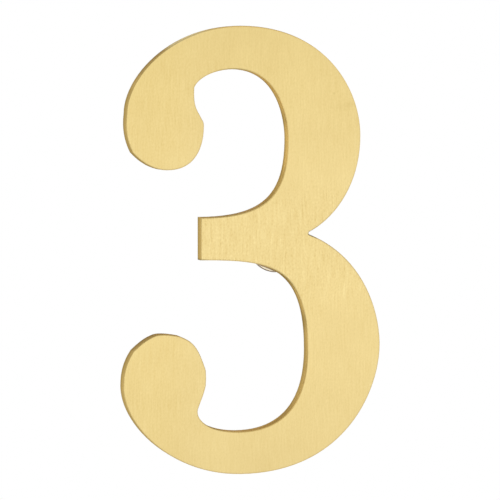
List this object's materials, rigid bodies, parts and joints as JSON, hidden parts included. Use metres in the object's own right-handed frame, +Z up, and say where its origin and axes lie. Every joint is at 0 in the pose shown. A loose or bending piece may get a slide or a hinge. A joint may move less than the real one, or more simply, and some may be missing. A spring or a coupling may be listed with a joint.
{
  "type": "door number",
  "caption": "Flat satin brass door numeral, a serif figure three with ball ends, held off the door by small spacers on the back with hidden threaded studs.",
  "frame": {"origin": "middle of the seat of the spacer behind the waist, on the plane of the door", "axes": "+Z up the figure, +X to the right as it is read, the face looks towards -Y and the studs point along +Y into the door"},
  "size_m": [0.0443, 0.0213, 0.076],
  "materials": {
    "brushed_brass": "satin, brushed upright, clear lacquered",
    "spacer_metal": "turned, rims dull",
    "stud_steel": "plain stainless, rolled thread"
  },
  "bodies": {
    "root": {"numeral": "brushed_brass", "waist_stud": "stud_steel", "upper_ball_stud": "stud_steel", "lower_ball_stud": "stud_steel", "waist_spacer": "spacer_metal", "upper_ball_spacer": "spacer_metal", "lower_ball_spacer": "spacer_metal"}
  },
  "joints": []
}
